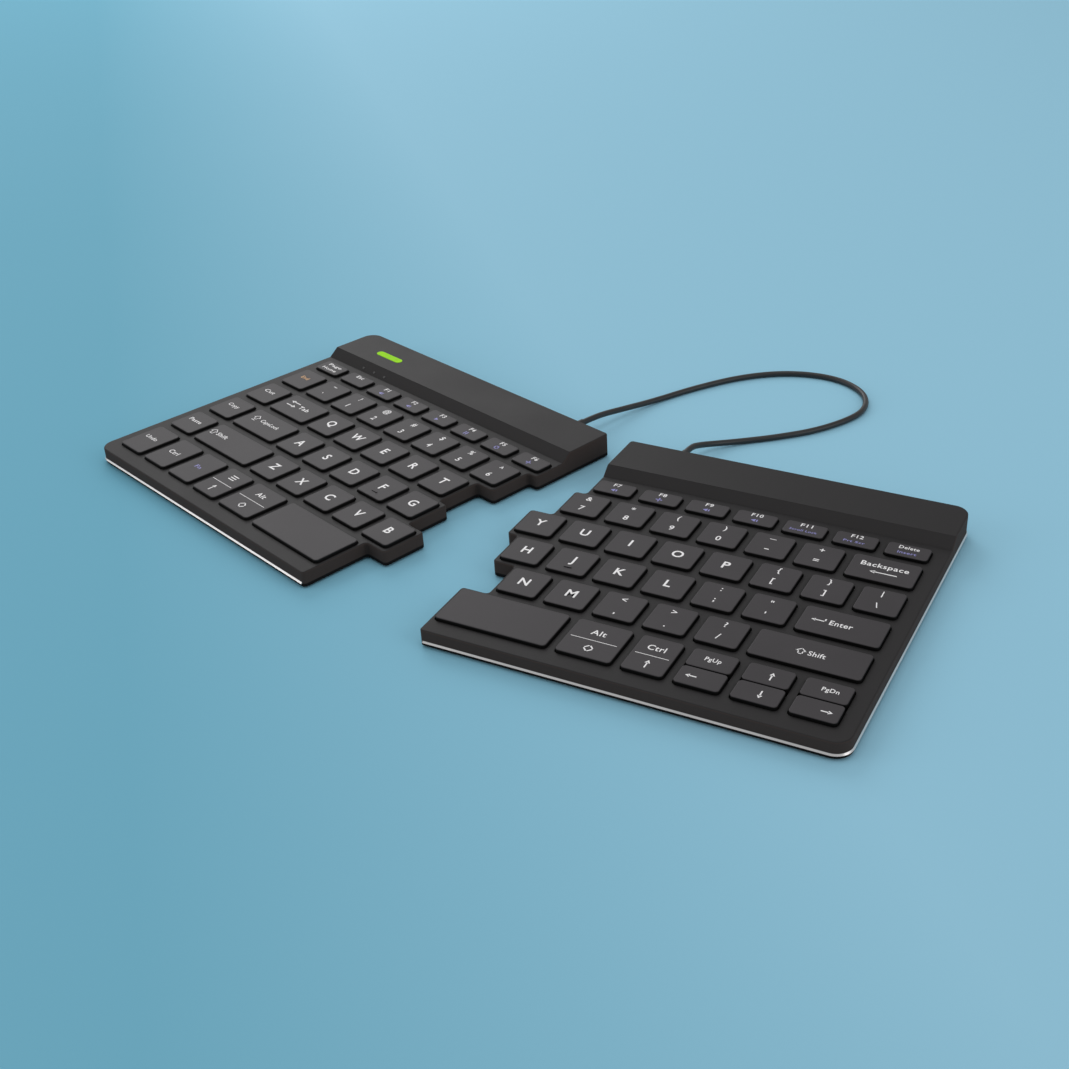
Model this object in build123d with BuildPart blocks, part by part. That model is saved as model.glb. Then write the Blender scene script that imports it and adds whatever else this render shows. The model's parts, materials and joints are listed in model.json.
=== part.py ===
from build123d import *
from collections import namedtuple
from math import atan2, copysign, cos, pi, radians, sin, tan
import os

os.makedirs("parts", exist_ok=True)

# A split compact keyboard: two halves that stand apart on a desk, joined by a link cord.
# All sizes are millimetres. Each half is drawn in its own plan frame: x runs along the rows from
# the left edge of the left half's first full column, y runs to the rear from the top letter row.
# Z is the height above the desk. LEFT and RIGHT are the signs of the two halves.
LEFT = -1
RIGHT = 1
SIDES = {LEFT: "left", RIGHT: "right"}

# Stance of the two halves
splay = 18.75
rear_gap = 11.5
split_clearance = 0.1

# Key grid
key_pitch = 19.0
row_pitch = 19.4
cap_gap_x = 3.6
cap_gap_y = 4.2
letter_cap_depth = 15.2
function_cap_depth = 8.5
bottom_cap_depth = 19.8
half_key_gap = 0.5
left_space_width = 46.25
right_space_width = 46.9
right_alt_width = 24.1
right_ctrl_width = 18.7
arrow_count = 3

# Where the halves part, in key pitches from x = 0, rear row first
split_steps = [7.25, 7.0, 6.5, 6.75, 7.25]
bottom_split_x = 127.0
rows_right_end = 14.5

# Key caps, domes and travel
cap_proud = 1.2
cap_corner = 1.5
cap_edge = 0.4
cap_wall = 1.0
cap_top_wall = 1.0
plunger_radius = 1.6
key_travel = 1.8
skirt_clearance = 0.5
plunger_drop = 0.1
window_gap = 0.4
homing_bar_length = 3.0
homing_bar_width = 0.5
homing_bar_height = 0.3
homing_bar_inset = 3.4
dome_radius = 3.4
dome_top_radius = 1.8
dome_wall = 0.5

# Case
side_margin = 6.2
front_margin = 7.3
outer_corner = 6.0
step_corner = 1.5
edge_round = 0.6
case_wall = 1.2
case_top_wall = 1.5
deck_height = 7.1
bar_height = 10.7
bar_depth = 22.2
slope_run = 4.6

# Base, trim strip and feet
foot_proud = 0.8
foot_recess = 0.4
foot_radius = 4.0
foot_clearance = 0.1
foot_inset = 15.0
base_thickness = 1.3
trim_height = 0.8
trim_proud = 0.5

# Key plate and membrane
plate_thickness = 0.6
plate_gap = 0.4
membrane_thickness = 0.3
membrane_inset = 1.0
clip_slot_length = 4.0
clip_slot_width = 0.8
clip_slot_offset = 5.2

# Screws
screw_radius = 0.9
screw_head_radius = 1.8
screw_head_height = 0.8
screw_length = 4.0
screw_socket = 1.2
screw_clearance = 0.1
boss_radius = 2.0
front_screw_inset = 3.8
front_screw_places = {LEFT: [-10.0, 55.0, 118.0], RIGHT: [140.0, 205.0, 268.0]}
bar_screw_y = 56.0
bar_screw_places = {LEFT: [-18.5, 51.0, 129.0], RIGHT: [144.0, 208.0, 274.0]}

# Electronics in the bars: the controller board and battery on the left, the link board on the right
board_x = {LEFT: 16.0, RIGHT: 180.0}
board_length = {LEFT: 60.0, RIGHT: 28.0}
board_depth = {LEFT: 24.0, RIGHT: 16.0}
board_thickness = 1.0
board_post_height = 1.2
board_post_radius = 1.5
board_post_inset = 3.0
board_rear_gap = 1.3
chip_size = 7.0
chip_height = 1.0
lamp_size = 1.6
lamp_height = 0.6
battery_x = 80.5
battery_length = 50.0
battery_depth = 19.0
battery_thickness = 4.5
battery_y = 58.5
battery_edge = 0.6
battery_gap = 0.2
battery_rib = 1.0
battery_rib_height = 2.0

# Charge socket and power switch in the left rear wall
socket_x = 2.0
socket_width = 8.94
socket_height = 3.26
socket_length = 7.3
socket_wall = 0.3
socket_recess = 0.2
socket_gap = 0.25
tongue_width = 6.6
tongue_thickness = 0.7
tongue_length = 5.5
switch_x = 30.0
switch_travel = 2.0
knob_length = 3.6
knob_height = 1.4
knob_proud = 0.7
knob_gap = 0.3
switch_body_length = 7.5
switch_body_depth = 3.5
switch_body_height = 2.7

# Indicator lenses in the left bar
lamp_bar_x = 5.6
lamp_bar_y = 57.8
lamp_bar_length = 17.0
lamp_bar_width = 3.6
lens_proud = 0.1
lens_gap = 0.1
lens_flange = 0.6
lens_flange_height = 0.5
dot_radius = 0.6
dot_places = [1.5, 9.5, 17.0]
dot_up_slope = 1.9

# Link cord and its strain reliefs
cord_radius = 1.3
gland_height = 6.3
gland_places = {LEFT: 116.0, RIGHT: 159.8}
neck_radius = 1.7
neck_tip_radius = 1.6
neck_length = 6.0
neck_fit = 0.1
flange_radius = 2.4
flange_thickness = 1.0
swivel = 8.0
swivel_clearance = 0.35
cord_lead = 8.5
cord_last_lead = 6.0

# Heights of the stack
base_top = foot_proud + base_thickness
trim_top = base_top + trim_height
plate_top = base_top + plate_thickness
membrane_top = plate_top + membrane_thickness
cap_top = deck_height + cap_proud
cap_bottom = membrane_top + key_travel + skirt_clearance
cap_height = cap_top - cap_bottom
plunger_bottom = cap_bottom - plunger_drop
board_bottom = base_top + board_post_height
board_top = board_bottom + board_thickness
deck_underside = deck_height - case_top_wall
bar_underside = bar_height - case_top_wall

# The right half swivels about its gland: the hole and the flange leave room for the turn
swivel_play = neck_radius / cos(radians(swivel)) - neck_radius + case_wall / 2 * tan(radians(swivel))
neck_clearance = {LEFT: neck_fit, RIGHT: swivel_play + swivel_clearance}
flange_gap = {LEFT: 0.0, RIGHT: flange_radius * sin(radians(swivel)) + swivel_clearance}

# Rows: the centre line and the cap depth of each, rear row first
letter_rows = [row_pitch, 0.0, -row_pitch, -2 * row_pitch]
function_row_y = row_pitch + letter_cap_depth / 2 + cap_gap_y + function_cap_depth / 2
bottom_row_y = -2 * row_pitch - letter_cap_depth / 2 - cap_gap_y - bottom_cap_depth / 2
row_y = [function_row_y, *letter_rows, bottom_row_y]
row_depth = [function_cap_depth, *[letter_cap_depth] * 4, bottom_cap_depth]

# Plan limits of the case
rows_left_end = -key_pitch
left_x = rows_left_end + cap_gap_x / 2 - side_margin
right_x = rows_right_end * key_pitch - cap_gap_x / 2 + side_margin
front_y = bottom_row_y - bottom_cap_depth / 2 - front_margin
slope_foot = function_row_y + function_cap_depth / 2 + cap_gap_y
bar_crease = slope_foot + slope_run
rear_y = bar_crease + bar_depth
slope_angle = atan2(bar_height - deck_height, slope_run)
outer_x = {LEFT: left_x, RIGHT: right_x}

# The stepped line between the halves: its x in each row and the y of each step
split_x = [step * key_pitch for step in split_steps] + [bottom_split_x]
step_y = [y - depth / 2 - cap_gap_y / 2 for y, depth in zip(row_y, row_depth)][:-1]

Cap = namedtuple("Cap", "x y width depth")


def split_line(side):
    """Corners of the stepped inner face of one half, from the rear to the front."""
    xs = [x + side * split_clearance for x in split_x]
    corners = [(xs[0], rear_y)]
    for y, rear, front in zip(step_y, xs, xs[1:]):
        ledge = y - side * copysign(split_clearance, rear - front)
        corners += [(rear, ledge), (front, ledge)]
    return corners + [(xs[-1], front_y)]


def rotated(point, angle):
    """A plan point turned about the origin by an angle in radians."""
    x, y = point
    return x * cos(angle) - y * sin(angle), x * sin(angle) + y * cos(angle)


def half_angle(side):
    """Plan angle of one half's rows, in radians."""
    return side * radians(splay / 2)


def trim_end(side, place):
    """x where the trim strip stops behind the inner wall, at the rear (0) or the front (-1)."""
    return split_line(side)[place][0] + side * case_wall


def stance():
    """Origins of both plan frames, so that the pair is centred on the object's own origin."""
    rear_corner = {side: split_line(side)[0] for side in SIDES}
    origins = {}
    reach = []
    for side in SIDES:
        turn = half_angle(side)
        corner = rotated(rear_corner[side], turn)
        origins[side] = (side * rear_gap / 2 - corner[0], -corner[1])
        centre_x = outer_x[side] - side * outer_corner
        arc_ys = (front_y + outer_corner, rear_y - outer_corner)
        rounds = [(centre_x, y, outer_corner + trim_proud) for y in arc_ys]
        rounds += [(trim_end(side, -1), front_y - trim_proud, 0), (trim_end(side, 0), rear_y + trim_proud, 0)]
        for x, y, radius in rounds:
            turned = rotated((x, y), turn)
            reach.append((turned[0] + origins[side][0], turned[1] + origins[side][1], radius))
    middle_x = (min(x - r for x, y, r in reach) + max(x + r for x, y, r in reach)) / 2
    middle_y = (min(y - r for x, y, r in reach) + max(y + r for x, y, r in reach)) / 2
    return {side: (x - middle_x, y - middle_y) for side, (x, y) in origins.items()}


half_origin = stance()


def half_plane(side, height):
    """Plan plane of one half at a height above the desk."""
    turn = half_angle(side)
    x, y = half_origin[side]
    return Plane(origin=(x, y, height), x_dir=(cos(turn), sin(turn), 0), z_dir=(0, 0, 1))


def across_plane(side, y, height):
    """Upright plane of one half at y, facing the rear, with its own y axis upwards."""
    frame = half_plane(side, height)
    return Plane(origin=frame.from_local_coords((0, y, 0)), x_dir=-frame.x_dir, z_dir=frame.y_dir)


def section_plane(side):
    """Upright plane at x = 0 of one half, with y to the rear and z upwards in its sketches."""
    frame = half_plane(side, 0)
    return Plane(origin=frame.origin, x_dir=frame.y_dir, z_dir=frame.x_dir)


def cells(row, start, widths):
    """Caps of keys laid side by side from start in one row."""
    caps = []
    for width in widths:
        caps.append(Cap(start + width / 2, row_y[row], width - cap_gap_x, row_depth[row]))
        start += width
    return caps


def stacked(cap, rear):
    """The rear or front one of two half keys that share a cap's place."""
    depth = (cap.depth - half_key_gap) / 2
    offset = (cap.depth - depth) / 2
    return Cap(cap.x, cap.y + (offset if rear else -offset), cap.width, depth)


def named(prefix, letters, caps):
    """One single-cap node for each letter."""
    return {f"{prefix}_{letter}": [cap] for letter, cap in zip(letters, caps)}


def left_keys():
    """Caps of the left half by node."""
    function = cells(0, 0, [split_x[0] / 7] * 7)
    digits = cells(1, 0, [key_pitch] * 7)
    top = cells(2, 0, [1.5 * key_pitch] + [key_pitch] * 5)
    home = cells(3, 0, [1.75 * key_pitch] + [key_pitch] * 5)
    lower = cells(4, 0, [2.25 * key_pitch] + [key_pitch] * 5)
    bottom = cells(5, 0, [key_pitch] * 3 + [1.25 * key_pitch, left_space_width])
    nodes = named("key", "qwert", top[1:])
    nodes |= named("key", "asdfg", home[1:])
    nodes |= named("key", "zxcvb", lower[1:])
    nodes["key_space_left"] = bottom[-1:]
    nodes["left_modifier_keys"] = [top[0], home[0], lower[0], *bottom[:-1]]
    nodes["left_upper_keys"] = function + digits
    nodes["left_column_keys"] = [cells(row, rows_left_end, [key_pitch])[0] for row in range(6)]
    return nodes


def right_keys():
    """Caps of the right half by node."""
    end = rows_right_end * key_pitch
    function = cells(0, split_x[0], [(end - split_x[0]) / 7] * 7)
    digits = cells(1, split_x[1], [key_pitch] * 6 + [1.5 * key_pitch])
    top = cells(2, split_x[2], [key_pitch] * 8)
    home = cells(3, split_x[3], [key_pitch] * 6 + [1.75 * key_pitch])
    lower = cells(4, split_x[4], [key_pitch] * 5 + [2.25 * key_pitch])
    fixed = [right_space_width, right_alt_width, right_ctrl_width]
    arrow_width = (end - bottom_split_x - sum(fixed)) / arrow_count
    bottom = cells(5, bottom_split_x, fixed + [arrow_width] * arrow_count)
    arrows = [stacked(cap, rear) for cap in bottom[3:] for rear in (True, False)]
    nodes = named("key", "yuiop", top[:5])
    nodes |= named("key", "hjkl", home[:4])
    nodes |= named("key", "nm", lower[:2])
    nodes["key_space_right"] = bottom[:1]
    nodes["key_enter"] = home[-1:]
    nodes["key_backspace"] = digits[-1:]
    nodes["right_side_keys"] = [*top[5:], *home[4:6], *lower[2:], *bottom[1:3], *arrows]
    nodes["right_upper_keys"] = function + digits[:-1]
    return nodes


keys = {LEFT: left_keys(), RIGHT: right_keys()}
homing_nodes = ("key_f", "key_j")


def all_caps(side):
    """Every cap of one half."""
    return [cap for caps in keys[side].values() for cap in caps]


def window_caps(side):
    """The places of the windows in one deck; the half keys of a column share one."""
    single = [cap for cap in all_caps(side) if cap.y > bottom_row_y - 0.01 and cap.y < bottom_row_y + 0.01]
    single += [cap for cap in all_caps(side) if cap.y > bottom_row_y + bottom_cap_depth / 2]
    halves = [cap for cap in all_caps(side) if cap not in single and cap.y > bottom_row_y]
    return single + [Cap(cap.x, bottom_row_y, cap.width, bottom_cap_depth) for cap in halves]


def cap_sketch(caps, growth, corner):
    """Rounded rectangles over a list of caps, grown on each side."""
    with BuildSketch(mode=Mode.PRIVATE) as faces:
        for cap in caps:
            with Locations((cap.x, cap.y)):
                RectangleRounded(cap.width + 2 * growth, cap.depth + 2 * growth, corner)
    return faces.sketch


def outline(side, inset):
    """Plan face of one half, drawn in by inset, with its corners rounded."""
    corners = [(outer_x[side], rear_y), *split_line(side), (outer_x[side], front_y)]
    with BuildSketch(mode=Mode.PRIVATE) as face:
        with BuildLine():
            Polyline(*corners, close=True)
        make_face()
        if inset:
            offset(amount=-inset, kind=Kind.INTERSECTION)
        by_side = face.vertices().sort_by(Axis.X, reverse=side == RIGHT)
        fillet(by_side[2:], radius=max(step_corner - inset, edge_round / 2))
        outer_pair = face.vertices().sort_by(Axis.X, reverse=side == RIGHT)[:2]
        fillet(outer_pair, radius=outer_corner - inset)
    return face.sketch


def case_block(side, inset, bottom, depth):
    """Solid of the case outline with the raised bar: the outer form, or the hollow at depth below it."""
    shift = depth * tan(slope_angle / 2)
    with BuildPart(mode=Mode.PRIVATE) as block:
        with BuildSketch(half_plane(side, bottom)):
            add(outline(side, inset))
        extrude(amount=bar_height - depth - bottom)
        with BuildSketch(section_plane(side)):
            with BuildLine():
                Polyline(
                    (front_y - side_margin, deck_height - depth),
                    (slope_foot + shift, deck_height - depth),
                    (bar_crease + shift, bar_height - depth),
                    (bar_crease + shift, bar_height + side_margin),
                    (front_y - side_margin, bar_height + side_margin),
                    close=True,
                )
            make_face()
        extrude(amount=right_x - left_x + key_pitch * rows_right_end, both=True, mode=Mode.SUBTRACT)
    return block.part


def rim_edges(block, side):
    """Top edges of a case block round its walls, without the foot and crease lines of the slope."""
    frame = half_plane(side, 0)
    rim = []
    for edge in block.edges().filter_by(Axis.Z, reverse=True):
        middle = frame.to_local_coords(edge @ 0.5)
        on_line = min(abs(middle.Y - slope_foot), abs(middle.Y - bar_crease)) < 0.01
        if middle.Z > trim_top and not on_line:
            rim.append(edge)
    return rim


def trim_path(side):
    """Line of the outer wall from one end of the trim strip to the other."""
    front = [(trim_end(side, -1), front_y), (outer_x[side], front_y)]
    rear = [(outer_x[side], rear_y), (trim_end(side, 0), rear_y)]
    corners = front + rear
    if side == RIGHT:
        corners.reverse()
    with BuildLine(half_plane(side, base_top), mode=Mode.PRIVATE) as wall:
        FilletPolyline(*corners, radius=outer_corner)
    return wall.wires()[0]


def trim_strip(side, profile):
    """A section, given as outward and upward distances, swept along the outer wall."""
    path = trim_path(side)
    start = Plane(origin=path @ 0, x_dir=(path % 0).cross(Vector(0, 0, -1)), z_dir=path % 0)
    with BuildPart(mode=Mode.PRIVATE) as strip:
        with BuildSketch(start):
            with BuildLine():
                Polyline(*profile, close=True)
            make_face()
        sweep(path=path)
    return strip.part


def foot_places(side):
    """Centres of the four feet of one half."""
    outer = outer_x[side] - side * foot_inset
    front_inner = trim_end(side, -1) + side * foot_inset
    rear_inner = trim_end(side, 0) + side * foot_inset
    front = front_y + foot_inset
    rear = rear_y - foot_inset
    return [(outer, front), (outer, rear), (front_inner, front), (rear_inner, rear)]


def screw_places(side):
    """Centres of the screws of one half."""
    front = [(x, front_y + front_screw_inset) for x in front_screw_places[side]]
    return front + [(x, bar_screw_y) for x in bar_screw_places[side]]


def cavity_top(y):
    """Underside of the case above a screw."""
    return bar_underside if y > bar_crease else deck_underside


board_rear = rear_y - case_wall - board_rear_gap
board_y = {side: board_rear - board_depth[side] / 2 for side in SIDES}
post_spacing = {
    side: (board_length[side] - 2 * board_post_inset, board_depth[side] - 2 * board_post_inset)
    for side in SIDES
}
socket_z = board_top + socket_height / 2
knob_z = board_top + switch_body_height / 2
switch_y = board_rear - switch_body_depth / 2
knob_inner_y = switch_y + switch_body_depth / 2 + knob_gap
knob_length_y = rear_y + knob_proud - knob_inner_y
slope_normal_plane = Plane(
    origin=half_plane(LEFT, 0).from_local_coords(
        (0, slope_foot + dot_up_slope * cos(slope_angle), deck_height + dot_up_slope * sin(slope_angle))
    ),
    x_dir=half_plane(LEFT, 0).x_dir,
    z_dir=half_plane(LEFT, 0).z_dir * cos(slope_angle) - half_plane(LEFT, 0).y_dir * sin(slope_angle),
)
report = {}


def write(part, node):
    """Name one piece, keep its size for the report and write its file."""
    part.label = node
    report[node] = (len(part.solids()), part.volume)
    export_step(part, f"parts/{node}.step")


# The two bases, with recesses for the feet and holes for the screws
for side, name in SIDES.items():
    with BuildPart() as base:
        with BuildSketch(half_plane(side, foot_proud)):
            add(outline(side, 0))
        extrude(amount=base_thickness)
        with BuildSketch(half_plane(side, foot_proud)):
            with Locations(*foot_places(side)):
                Circle(foot_radius + foot_clearance)
        extrude(amount=foot_recess, mode=Mode.SUBTRACT)
        with BuildSketch(half_plane(side, foot_proud)):
            with Locations(*screw_places(side)):
                Circle(screw_head_radius + screw_clearance)
        extrude(amount=screw_head_height, mode=Mode.SUBTRACT)
        with BuildSketch(half_plane(side, foot_proud)):
            with Locations(*screw_places(side)):
                Circle(screw_radius + screw_clearance)
        extrude(amount=base_thickness, mode=Mode.SUBTRACT)
        with BuildSketch(half_plane(side, base_top)):
            with Locations((board_x[side], board_y[side])):
                with GridLocations(*post_spacing[side], 2, 2):
                    Circle(board_post_radius)
        extrude(amount=board_post_height)
        if side == LEFT:
            with BuildSketch(half_plane(side, base_top)):
                with Locations((battery_x, battery_y)):
                    bay_length = battery_length + 2 * battery_gap
                    bay_depth = battery_depth + 2 * battery_gap
                    Rectangle(bay_length + 2 * battery_rib, bay_depth + 2 * battery_rib)
                    Rectangle(bay_length, bay_depth, mode=Mode.SUBTRACT)
            extrude(amount=battery_rib_height)
    write(base.part, f"{name}_base")

# The bright trim strips, round the three outer sides, proud at the foot and flush at the top
for side, name in SIDES.items():
    with BuildPart() as trim:
        add(trim_strip(side, [(-case_wall, 0), (trim_proud, 0), (0, trim_height), (-case_wall, trim_height)]))
    write(trim.part, f"{name}_trim")

# The two top cases: deck with key windows, raised rear bar, walls and screw bosses
for side, name in SIDES.items():
    with BuildPart() as top_case:
        add(case_block(side, 0, base_top, 0))
        fillet(rim_edges(top_case, side), radius=edge_round)
        add(case_block(side, case_wall, base_top, case_top_wall), mode=Mode.SUBTRACT)
        cut = [(-case_wall, 0), (edge_round, 0), (edge_round, trim_height), (-case_wall, trim_height)]
        add(trim_strip(side, cut), mode=Mode.SUBTRACT)
        with BuildSketch(half_plane(side, deck_underside)):
            add(cap_sketch(window_caps(side), window_gap, cap_corner + window_gap))
        extrude(amount=case_top_wall, mode=Mode.SUBTRACT)
        for place in screw_places(side):
            with BuildSketch(half_plane(side, base_top)):
                with Locations(place):
                    Circle(boss_radius)
                    Circle(screw_radius + screw_clearance, mode=Mode.SUBTRACT)
            extrude(amount=cavity_top(place[1]) - base_top)
        with BuildSketch(across_plane(side, rear_y - case_wall, gland_height)):
            with Locations((-gland_places[side], 0)):
                Circle(neck_radius + neck_clearance[side])
        extrude(amount=case_wall, mode=Mode.SUBTRACT)
        if side == LEFT:
            with BuildSketch(across_plane(side, rear_y - case_wall, 0)):
                with Locations((-socket_x, socket_z)):
                    opening_height = socket_height + 2 * socket_gap
                    RectangleRounded(socket_width + 2 * socket_gap, opening_height, opening_height * 0.49)
                with Locations((-switch_x - switch_travel / 2, knob_z)):
                    Rectangle(knob_length + switch_travel + 2 * knob_gap, knob_height + 2 * knob_gap)
            extrude(amount=case_wall, mode=Mode.SUBTRACT)
            with BuildSketch(half_plane(side, bar_underside)):
                with Locations((lamp_bar_x, lamp_bar_y)):
                    SlotOverall(lamp_bar_length + 2 * lens_gap, lamp_bar_width + 2 * lens_gap)
            extrude(amount=case_top_wall, mode=Mode.SUBTRACT)
            with BuildSketch(slope_normal_plane):
                with Locations(*[(x, 0) for x in dot_places]):
                    Circle(dot_radius + lens_gap)
            extrude(amount=-2 * case_top_wall, mode=Mode.SUBTRACT)
    write(top_case.part, f"{name}_top_case")

# The steel key plates and the switch membranes on them
for side, name in SIDES.items():
    layers = {
        "key_plate": (base_top, plate_thickness, case_wall + plate_gap),
        "membrane": (plate_top, membrane_thickness, case_wall + plate_gap + membrane_inset),
    }
    bosses = [place for place in screw_places(side) if place[1] < slope_foot]
    for layer, (height, thickness, inset) in layers.items():
        with BuildPart() as sheet:
            with BuildSketch(half_plane(side, height)):
                add(outline(side, inset))
                with Locations(((left_x + right_x) / 2, slope_foot + bar_depth)):
                    Rectangle(right_x - left_x, 2 * bar_depth, mode=Mode.SUBTRACT)
                with Locations(*bosses):
                    Circle(boss_radius + inset - case_wall, mode=Mode.SUBTRACT)
                if layer == "key_plate":
                    for cap in all_caps(side):
                        with Locations((cap.x - clip_slot_offset, cap.y), (cap.x + clip_slot_offset, cap.y)):
                            Rectangle(clip_slot_width, clip_slot_length, mode=Mode.SUBTRACT)
            extrude(amount=thickness)
        write(sheet.part, f"{name}_{layer}")

# The rubber domes, one under each cap
for side, name in SIDES.items():
    dome_height = plunger_bottom - membrane_top
    with BuildPart(half_plane(side, membrane_top)) as domes:
        with Locations(*[(cap.x, cap.y) for cap in all_caps(side)]):
            Cone(dome_radius, dome_top_radius, dome_height, align=(Align.CENTER, Align.CENTER, Align.MIN))
            Cone(
                dome_radius - dome_wall,
                dome_top_radius - dome_wall,
                dome_height - dome_wall,
                align=(Align.CENTER, Align.CENTER, Align.MIN),
                mode=Mode.SUBTRACT,
            )
    write(domes.part, f"{name}_domes")

# The feet and the screws
for side, name in SIDES.items():
    with BuildPart() as feet:
        with BuildSketch(half_plane(side, 0)):
            with Locations(*foot_places(side)):
                Circle(foot_radius)
        extrude(amount=foot_proud + foot_recess)
    write(feet.part, f"{name}_feet")

    with BuildPart() as screws:
        with BuildSketch(half_plane(side, foot_proud)):
            with Locations(*screw_places(side)):
                Circle(screw_head_radius)
        extrude(amount=screw_head_height)
        with BuildSketch(half_plane(side, foot_proud)):
            with Locations(*screw_places(side)):
                Circle(screw_radius)
        extrude(amount=screw_length)
        with BuildSketch(half_plane(side, foot_proud)):
            with Locations(*screw_places(side)):
                RegularPolygon(screw_socket / 2, 6, major_radius=False)
        extrude(amount=screw_head_height / 2, mode=Mode.SUBTRACT)
    write(screws.part, f"{name}_screws")

# The battery in its bay
with BuildPart() as battery:
    with BuildSketch(half_plane(LEFT, base_top)):
        with Locations((battery_x, battery_y)):
            Rectangle(battery_length, battery_depth)
    extrude(amount=battery_thickness)
    fillet(battery.edges().filter_by(Axis.Z), radius=battery_edge)
write(battery.part, "battery")

# The controller board with its lamps and switch body, and the link board, each with its chip
for side, node in ((LEFT, "controller_board"), (RIGHT, "link_board")):
    with BuildPart() as board:
        with BuildSketch(half_plane(side, board_bottom)):
            with Locations((board_x[side], board_y[side])):
                Rectangle(board_length[side], board_depth[side])
        extrude(amount=board_thickness)
        with BuildSketch(half_plane(side, board_top)):
            with Locations((board_x[side] + board_length[side] / 4, board_y[side] - board_depth[side] / 8)):
                Rectangle(chip_size, chip_size)
        extrude(amount=chip_height)
        if side == LEFT:
            with BuildSketch(half_plane(side, board_top)):
                dot_lamps = [(x, slope_foot + slope_run / 2) for x in dot_places]
                with Locations((lamp_bar_x, lamp_bar_y), *dot_lamps):
                    Rectangle(lamp_size, lamp_size)
            extrude(amount=lamp_height)
            with BuildSketch(half_plane(side, board_top)):
                with Locations((switch_x + switch_travel / 2, switch_y)):
                    Rectangle(switch_body_length, switch_body_depth)
            extrude(amount=switch_body_height)
    write(board.part, node)

# The charge socket: a thin oval shell with a tongue
with BuildPart() as charge_socket:
    mouth = rear_y - socket_recess
    shell_radius = socket_height * 0.49
    with BuildSketch(across_plane(LEFT, mouth, 0)):
        with Locations((-socket_x, socket_z)):
            RectangleRounded(socket_width, socket_height, shell_radius)
    extrude(amount=-socket_length)
    with BuildSketch(across_plane(LEFT, mouth, 0)):
        with Locations((-socket_x, socket_z)):
            RectangleRounded(
                socket_width - 2 * socket_wall, socket_height - 2 * socket_wall, shell_radius - socket_wall
            )
    extrude(amount=socket_wall - socket_length, mode=Mode.SUBTRACT)
    with BuildSketch(across_plane(LEFT, mouth - socket_length, 0)):
        with Locations((-socket_x, socket_z)):
            Rectangle(tongue_width, tongue_thickness)
    extrude(amount=tongue_length)
write(charge_socket.part, "charge_socket")

# The power switch's knob in its slot
with BuildPart() as power_switch:
    with BuildSketch(across_plane(LEFT, knob_inner_y, 0)):
        with Locations((-switch_x, knob_z)):
            Rectangle(knob_length, knob_height)
    extrude(amount=knob_length_y)
    for ridge in (-1, 0, 1):
        with BuildSketch(across_plane(LEFT, rear_y + knob_proud / 2, 0)):
            with Locations((-switch_x + ridge * knob_length / 4, knob_z)):
                Rectangle(knob_length / 10, knob_height)
        extrude(amount=knob_proud, mode=Mode.SUBTRACT)
write(power_switch.part, "power_switch")

# The indicator lenses, each held by a flange under the case
with BuildPart() as indicator_lenses:
    with BuildSketch(half_plane(LEFT, bar_underside)):
        with Locations((lamp_bar_x, lamp_bar_y)):
            SlotOverall(lamp_bar_length, lamp_bar_width)
    extrude(amount=case_top_wall + lens_proud)
    with BuildSketch(half_plane(LEFT, bar_underside - lens_flange_height)):
        with Locations((lamp_bar_x, lamp_bar_y)):
            SlotOverall(lamp_bar_length + 2 * lens_flange, lamp_bar_width + 2 * lens_flange)
    extrude(amount=lens_flange_height)
    with BuildSketch(slope_normal_plane.offset(lens_proud)):
        with Locations(*[(x, 0) for x in dot_places]):
            Circle(dot_radius)
    extrude(amount=-lens_proud - case_top_wall)
    with BuildSketch(slope_normal_plane.offset(-case_top_wall)):
        with Locations(*[(x, 0) for x in dot_places]):
            Circle(dot_radius + lens_flange)
    extrude(amount=-lens_flange_height)
write(indicator_lenses.part, "indicator_lenses")

# The strain reliefs: a flange behind the wall and a tapering neck through it
neck_root = {}
neck_tip = {}
for side, name in SIDES.items():
    flange_y = rear_y - case_wall - flange_gap[side]
    neck_root[side] = across_plane(side, flange_y, gland_height)
    neck_end = (gland_places[side], rear_y + neck_length, 0)
    neck_tip[side] = half_plane(side, gland_height).from_local_coords(neck_end)
    with BuildPart() as strain_relief:
        with BuildSketch(neck_root[side]):
            with Locations((-gland_places[side], 0)):
                Circle(flange_radius)
        extrude(amount=-flange_thickness)
        with BuildSketch(neck_root[side]):
            with Locations((-gland_places[side], 0)):
                Circle(neck_radius)
        extrude(amount=rear_y - flange_y)
        with BuildSketch(across_plane(side, rear_y, gland_height)):
            with Locations((-gland_places[side], 0)):
                Circle(neck_radius)
        with BuildSketch(across_plane(side, rear_y + neck_length, gland_height)):
            with Locations((-gland_places[side], 0)):
                Circle(neck_tip_radius)
        loft()
    write(strain_relief.part, f"{name}_strain_relief")

# The link cord: out of one neck, down to the desk, round a loose loop and into the other neck
left_out = half_plane(LEFT, 0).y_dir
right_out = half_plane(RIGHT, 0).y_dir
cord_start = neck_tip[LEFT]
cord_end = neck_tip[RIGHT]
loop_points = [
    (-13.1, 93.3, 3.9),
    (-8.4, 112.3, cord_radius),
    (0.6, 134.8, cord_radius),
    (13.5, 157.3, cord_radius),
    (30.2, 172.0, cord_radius),
    (50.3, 177.2, cord_radius),
    (66.5, 171.1, cord_radius),
    (74.5, 159.7, cord_radius),
    (75.8, 146.9, cord_radius),
    (67.9, 126.9, cord_radius),
    (56.1, 111.7, cord_radius),
    (45.1, 100.3, cord_radius),
    (38.1, 90.7, 2.5),
    (35.4, 83.4, 4.4),
]
cord_points = [
    cord_start,
    cord_start + left_out * cord_lead,
    *[Vector(*point) for point in loop_points],
    cord_end + right_out * cord_last_lead,
    cord_end,
]


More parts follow.
